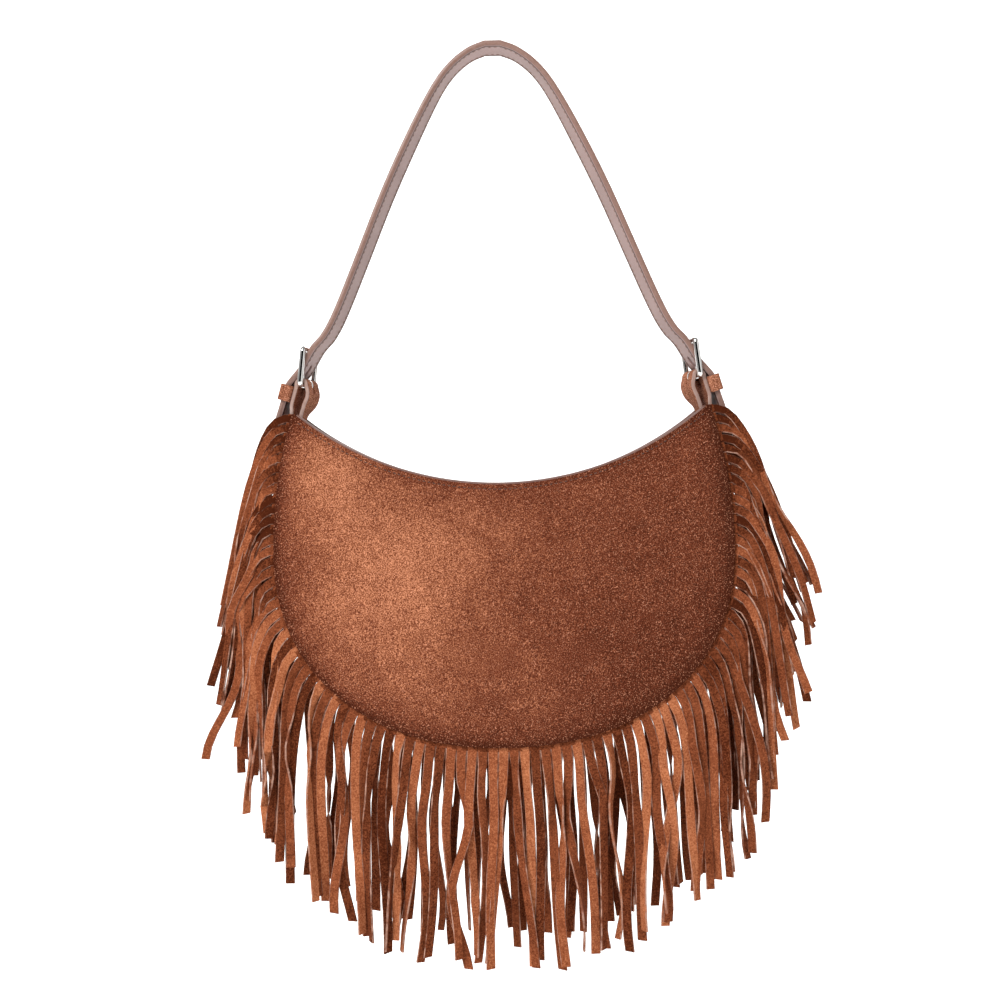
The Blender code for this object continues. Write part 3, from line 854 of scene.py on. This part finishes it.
def strap_middle():
    """The strap's middle line, from the left tail over the top to the right one."""
    hx, hz = HEEL
    bend = [(0.005, STRAP_APEX), (0.015, 0.3052), (0.026, 0.2962), (0.036, 0.2825)]
    arm = [(0.050, 0.256), (0.067, 0.220), (0.0838, 0.180), (0.0975, 0.1475)]
    buckle = [(-0.0150, 0.0305), (-0.0076, 0.0220), (0, 0.0100), (0.0046, 0.0047), (0.0083, 0.0002)]
    tail = [KEEPER_AT, (0.0123, -0.012), (0.016, -0.022), (0.019, -0.032), (0.0205, -0.042)]
    half = curve_through(bend + arm + [(hx + a, hz + h) for a, h in buckle + tail], 8)
    return np.vstack([half[::-1] * (-1, 1), half])


def strap_point(x, z, across):
    """A point across the strap, which turns towards the corners as it comes down."""
    side = math.copysign(1, x)
    x = abs(x)
    if z < HEEL[1] + KEEPER_AT[1]:
        toe = TOE + (TAIL_TOE - TOE) * (1 - smooth_step(HEEL[1] - 0.040, HEEL[1] - 0.009, z))
    else:
        toe = TOE * smooth_step(0.005, 0.060, x)
    out = max(x - HEEL[0], -0.009)
    y = out * math.sin(toe) * (1 - smooth_step(HEEL[1] + 0.022, HEEL[1] + 0.075, z))
    return side * (x - across * math.sin(toe)), y + across * math.cos(toe), z


strap_suede = suede(
    "strap_suede", (0.36, 0.130, 0.068), (0.145, 0.040, 0.020), (0.045, 0.010, 0.004), mottle_size=0.6,
)
strap_leather = smooth_leather("strap_leather", (0.33, 0.215, 0.195), (0.19, 0.115, 0.102))
tan_paint = painted("tan_edge_paint", (0.14, 0.068, 0.050), (0.26, 0.150, 0.118), least_rough=0.28)
# painted shade for the dark line in each crease
painted_crease_shade = twisted("painted_crease_shade", 0.6, (0.030, 0.012, 0.008), (0.085, 0.036, 0.026), 900)
tan_thread = twisted("tan_thread", 0.55, (0.13, 0.060, 0.036), (0.26, 0.135, 0.085))

MIDDLE = strap_middle()
prong_cutters = []
for sign in (-1, 1):
    for a, h, half_slot, slope in HOLES:
        bpy.ops.mesh.primitive_cylinder_add(vertices=24, radius=HOLE_RADIUS, depth=CUT_DEPTH)
        cutter = bpy.context.object
        for vert in cutter.data.vertices:
            vert.co.y += math.copysign(half_slot, vert.co.y) if half_slot else 0
        tilt = math.radians(slope)
        along = Vector((-math.sin(tilt), 0, math.cos(tilt)))
        through = Vector((along.z, 0, -along.x))
        wide = through.cross(along)
        toe = TOE if h > LOW_HOLE else LOW_HOLE_TOE
        for vert in cutter.data.vertices:
            p = wide * -vert.co.x + along * vert.co.y + through * vert.co.z + Vector((a, 0, h))
            x = p.x * math.cos(toe) - p.y * math.sin(toe)
            y = p.x * math.sin(toe) + p.y * math.cos(toe)
            vert.co = (sign * (HEEL[0] + x), y, WIDEST_Z + HEEL[1] + p.z)
        turn_normals_out(cutter)
        prong_cutters.append(cutter)

layers = (
    ("suede_strap", "strap_outer", (STRAP_THICK - STRAP_SUEDE) / 2, STRAP_SUEDE, strap_suede, "strap_suede"),
    ("leather_strap_lining", "strap_lining", (STRAP_LINING - STRAP_THICK) / 2, STRAP_LINING, strap_leather,
     "strap_leather"),
)
for name, node, offset, thickness, mat, slot in layers:
    line = offset_line(MIDDLE, offset)
    columns = np.linspace(EDGE_PAINT_IN - STRAP_HALF, STRAP_HALF - EDGE_PAINT_IN, 7)
    rows = [[strap_point(x, z, a) for a in columns] for x, z in line]
    layer = skin(name, rows, thickness, mat, round_edge=0.0002)
    for cutter in prong_cutters:
        hole = layer.modifiers.new("hole", "BOOLEAN")
        hole.object, hole.operation, hole.solver = cutter, "DIFFERENCE", "EXACT"
    apply_modifiers(layer)
    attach(layer, "root")
    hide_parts(node)
for cutter in prong_cutters:
    bpy.data.objects.remove(cutter, do_unlink=True)

run = np.gradient(MIDDLE, axis=0)
run /= np.linalg.norm(run, axis=1)[:, None]
out_of_strap = np.stack([-run[:, 1], 0 * run[:, 0], run[:, 0]], axis=1)
across = [np.array(strap_point(x, z, STRAP_HALF)) - np.array(strap_point(x, z, 0)) for x, z in MIDDLE]
across = [a / np.linalg.norm(a) for a in across]
for edge, name in SIDES:
    middle = [strap_point(x, z, edge * PAINT_AT) for x, z in MIDDLE]
    paint = bead(
        f"painted_{name}_strap_edge", middle, across, out_of_strap, 0.0008, STRAP_THICK / 2, tan_paint,
    )
    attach(paint, "root")

# a dark bead along each crease: painted shade in the creased groove
for edge, name in SIDES:
    for face, face_name in FACES:
        lift = face * (STRAP_THICK / 2 + 0.00002)
        middle = [strap_point(x, z, edge * CREASE_AT) for x, z in offset_line(MIDDLE, lift)]
        crease = bead(
            f"{name}_{face_name}_strap_crease_shade", middle, across, out_of_strap,
            CREASE_HALF, CREASE_LIFT, painted_crease_shade,
        )
        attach(crease, "root")

for edge, name in SIDES:
    for face, face_name in FACES:
        lift = face * (STRAP_THICK / 2 + 0.00004)
        line = [strap_point(x, z, edge * STITCH_AT) for x, z in offset_line(MIDDLE, lift)]
        outward = face * out_of_strap
        rows = stitch_row(f"{name}_{face_name}_strap_stitches", line, outward, STITCH_PITCH, tan_thread)
        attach(rows, "root")


# --- Buckles ---------------------------------------------------------------------
# Polished nickel: a one-window frame of round bar that turns on the tab's fold, and a
# wire prong bent round the same bar.

BAR = 0.00175
FRAME_HALF = 0.01225
FRAME_TALL = 0.0222
FRAME_LEAN = math.radians(7)
FRAME_CORNER = 0.0021
WIRE = 0.0011

nickel, tree, shader = new_material("buckle_nickel", 0.14, Metallic=1.0)
rub = grain(tree, 90, 2)
wire_up(tree, shader, blend_colours(tree, rub, (0.78, 0.76, 0.73), (0.88, 0.86, 0.84)), rub * 0.06 + 0.03)


def bar(name, points, radius, mat, closed):
    """A round bar along a line of points."""
    curve = bpy.data.curves.new(name, "CURVE")
    curve.dimensions = "3D"
    curve.bevel_depth, curve.bevel_resolution, curve.use_fill_caps = radius, 6, True
    spline = curve.splines.new("POLY")
    spline.points.add(len(points) - 1)
    for point, place in zip(spline.points, points):
        point.co = (*place, 1)
    spline.use_cyclic_u = closed
    obj = bpy.data.objects.new(name, curve)
    bpy.context.scene.collection.objects.link(obj)
    select_only(obj)
    bpy.ops.object.convert(target="MESH")
    obj = bpy.context.object
    obj.data.materials.clear()
    obj.data.materials.append(mat)
    obj.data.shade_smooth()
    return obj


def to_corner(points, sign, toe=TOE):
    """Points given as outward, across and up from the heel bar, put on the left (-1) or right (1)."""
    placed = []
    for a, y, h in points:
        x, back = a * math.cos(toe) - y * math.sin(toe), a * math.sin(toe) + y * math.cos(toe)
        placed.append((sign * (HEEL[0] + x), back, WIDEST_Z + HEEL[1] + h))
    return placed


LEAN_UP = np.array([-math.sin(FRAME_LEAN), math.cos(FRAME_LEAN)])
for side, sign in (("left", -1), ("right", 1)):
    ring = []
    for k, (way, height) in enumerate(((1, FRAME_TALL), (-1, FRAME_TALL), (-1, 0), (1, 0))):
        centre_y = way * (FRAME_HALF - FRAME_CORNER)
        centre_h = height + (FRAME_CORNER if height == 0 else -FRAME_CORNER)
        for turn in np.linspace(k, k + 1, 9) * math.pi / 2:
            h = centre_h + FRAME_CORNER * math.sin(turn)
            ring.append((LEAN_UP[0] * h, centre_y + FRAME_CORNER * math.cos(turn), LEAN_UP[1] * h))
    frame_bar = bar(f"nickel_frame_{side}", to_corner(ring, sign), BAR, nickel, True)
    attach(frame_bar, f"buckle_{side}")
    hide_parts(f"buckle_frame_{side}")
    reach = BAR + GAP + WIRE
    line = [(reach * math.cos(t), 0, reach * math.sin(t)) for t in np.radians(np.linspace(95, 360, 34))]
    rest = LEAN_UP * FRAME_TALL + np.array([LEAN_UP[1], -LEAN_UP[0]]) * reach
    start = np.array([reach, 0])
    for share in (0.25, 0.5, 0.75, 1.0):
        p = start + (rest - start) * share
        line.append((p[0], 0, p[1]))
    tip = rest + LEAN_UP * 2 * WIRE
    line.append((tip[0], 0, tip[1]))
    prong = bar(f"nickel_prong_{side}", to_corner(line, sign), WIRE, nickel, False)
    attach(prong, f"prong_{side}")
    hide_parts(f"prong_{side}")


# --- Tabs and keepers ------------------------------------------------------------
# A light suede tab folds over each heel bar, slotted for the prong, and its legs hold
# the gusset's end. A suede loop keeps the strap's tail against it.

CHAPE = 0.0022
CHAPE_SLOT = 0.0016
TAB_EDGE_AT = 0.00985
TAB_SPAN_STEPS = 3
TWIST_TOP, TWIST_END = -0.011, -0.0185
KEEPER_TILT = math.radians(17)
KEEPER_WALL = 0.0018
KEEPER_INNER = (0.0046, 0.0210)
KEEPER_TALL = 0.010
KEEPER_CORNER = 0.0014

tab_suede = suede(
    "tab_suede", (0.46, 0.20, 0.115), (0.21, 0.072, 0.038), (0.065, 0.017, 0.008), mottle_size=0.4,
)
pale_paint = painted("pale_edge_paint", (0.20, 0.115, 0.090), (0.36, 0.24, 0.20))
fold = BAR + GAP + CHAPE / 2
inner_leg = [(0.0054, -0.031), (0.0022, -0.0185), (-0.0004, -0.0140), (-0.0030, -0.0095), (-0.0041, -0.005)]
over_bar = [(fold * math.cos(t), fold * math.sin(t)) for t in np.radians(np.linspace(185, 0, 9))]
outer_leg = [(0.0033, -0.0015), (0.00435, -0.005), (0.0062, -0.011), (0.0081, -0.018), (0.0115, -0.031)]
tab_line = curve_through(inner_leg + over_bar + outer_leg, TAB_SPAN_STEPS)
# the prong's slot runs over the bar, down to the second point of the outer leg
slot_from = TAB_SPAN_STEPS * (len(inner_leg) - 1)
slot_to = TAB_SPAN_STEPS * (len(inner_leg) + len(over_bar) + 1)
slot_faces = {(i, 3) for i in range(slot_from, slot_to)}
tab_columns = (-0.010, -0.0075, -0.005, -CHAPE_SLOT, CHAPE_SLOT, 0.005, 0.0075, 0.010)
for side, sign in (("left", -1), ("right", 1)):
    rows = []
    for a, h in tab_line:
        toe = TOE * smooth_step(TWIST_END, TWIST_TOP, h)
        placed = to_corner([(a, y, h) for y in tab_columns], sign, toe)
        rows.append([(x, y, z - WIDEST_Z) for x, y, z in placed])
    tab = skin(f"suede_tab_{side}", rows, CHAPE, tab_suede, slot_faces)
    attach(tab, "root")
    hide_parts(f"chape_{side}")

    for edge, name in SIDES:
        y = edge * TAB_EDGE_AT
        middle, across, through = [], [], []
        run = np.gradient(tab_line, axis=0)
        for (a, h), (da, dh) in zip(tab_line, run):
            toe = TOE * smooth_step(TWIST_END, TWIST_TOP, h)
            here, aside, over = to_corner([(a, y, h), (a, y + 0.001, h), (a + dh, y, h - da)], sign, toe)
            middle.append((here[0], here[1], here[2] - WIDEST_Z))
            across.append((np.array(aside) - here) / 0.001)
            through.append((np.array(over) - here) / np.hypot(da, dh))
        paint = bead(
            f"painted_{name}_tab_edge_{side}", middle, across, through,
            0.0004, CHAPE / 2 + 0.0001, pale_paint,
        )
        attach(paint, "root")

    half_a, half_y = ((inner + KEEPER_WALL) / 2 for inner in KEEPER_INNER)
    ring = []
    for k, (way_a, way_y) in enumerate(((1, 1), (-1, 1), (-1, -1), (1, -1))):
        for turn in np.linspace(k, k + 1, 6) * math.pi / 2:
            ring.append((way_a * (half_a - KEEPER_CORNER) + KEEPER_CORNER * math.cos(turn),
                         way_y * (half_y - KEEPER_CORNER) + KEEPER_CORNER * math.sin(turn)))
    rows = []
    for a, y in ring:
        row = []
        for h in np.linspace(-KEEPER_TALL / 2, KEEPER_TALL / 2, 5):
            out = KEEPER_AT[0] + a * math.cos(KEEPER_TILT) - h * math.sin(KEEPER_TILT)
            up = KEEPER_AT[1] + a * math.sin(KEEPER_TILT) + h * math.cos(KEEPER_TILT)
            row.append((out, y, up))
        rows.append([(x, y, z - WIDEST_Z) for x, y, z in to_corner(row, sign)])
    keeper = skin(f"suede_keeper_{side}", rows, KEEPER_WALL, tab_suede, wrap=True)
    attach(keeper, "root")
    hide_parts(f"keeper_{side}")


# --- Snap ------------------------------------------------------------------------
# Two nickel discs with magnets, riveted to the facings under the middle of the mouth.

snap_nickel, tree, shader = new_material("snap_nickel", 0.2, Metallic=1.0)
rub = grain(tree, 300, 4)
colour = blend_colours(tree, rub, (0.62, 0.61, 0.60), (0.78, 0.77, 0.76))
wire_up(tree, shader, colour, rub * 0.2 + 0.1, rub, 0.00005, 0.2)
for node in ("snap_stud", "snap_socket"):
    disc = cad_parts[node]
    disc.data.materials.clear()
    disc.data.materials.append(snap_nickel)
